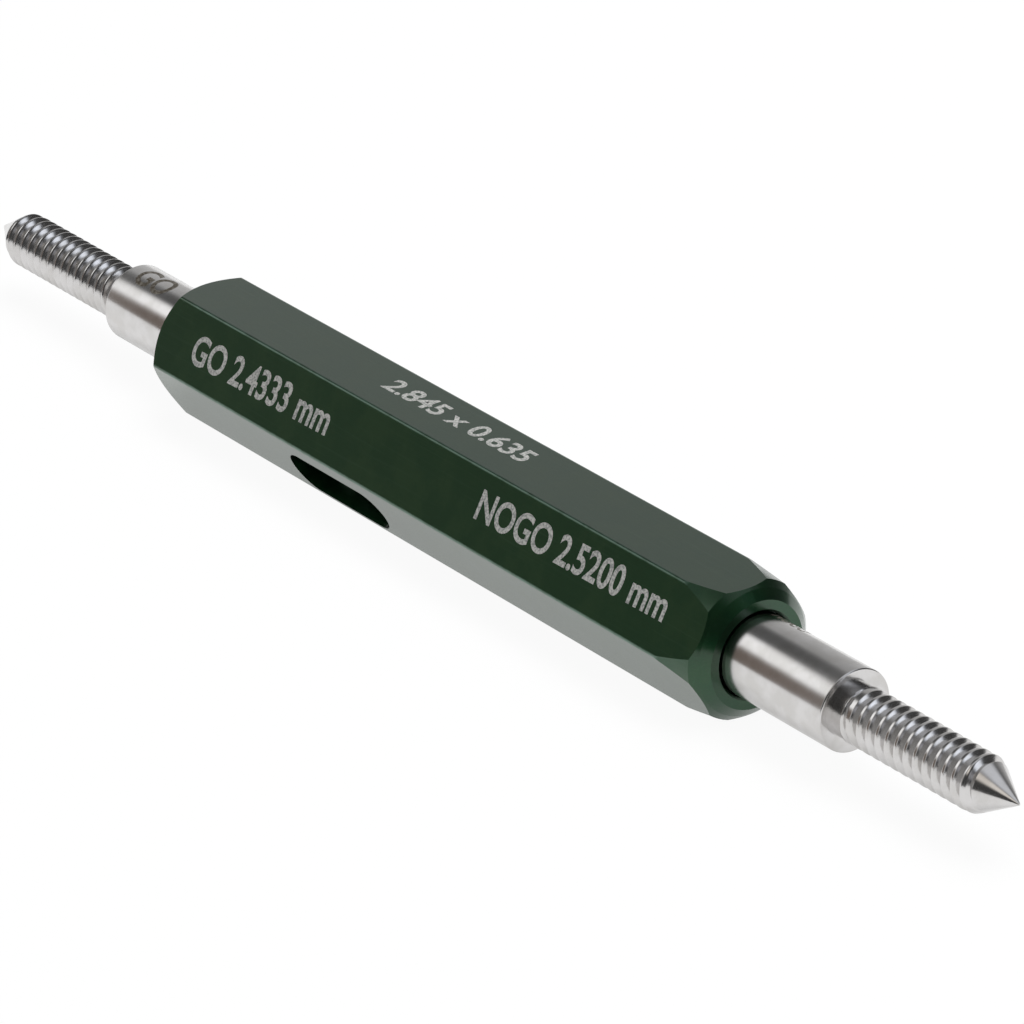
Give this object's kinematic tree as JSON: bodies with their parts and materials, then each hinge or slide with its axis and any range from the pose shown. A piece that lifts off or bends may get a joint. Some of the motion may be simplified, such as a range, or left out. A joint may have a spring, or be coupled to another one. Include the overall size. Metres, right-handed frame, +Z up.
{
  "type": "thread plug gauge",
  "caption": "Double-ended thread plug gauge lying on one flat: steel GO and NOGO screw members held in taper sockets of a green hexagonal aluminium handle with a drift slot.",
  "frame": {"origin": "middle of the resting flat of the handle, half way along the handle", "axes": "+X along the gauge from the GO end to the NOGO end, +Z up from the resting flat, Y across the flats' corners"},
  "size_m": [0.0811, 0.0074, 0.0065],
  "materials": {
    "anodised_handle": "dark green anodised, drawn bar with worn ends",
    "gauge_steel": "hardened and ground gauge steel, fine turning lines"
  },
  "bodies": {
    "root": {"handle": "anodised_handle", "go_member": "gauge_steel", "nogo_member": "gauge_steel"}
  },
  "joints": []
}
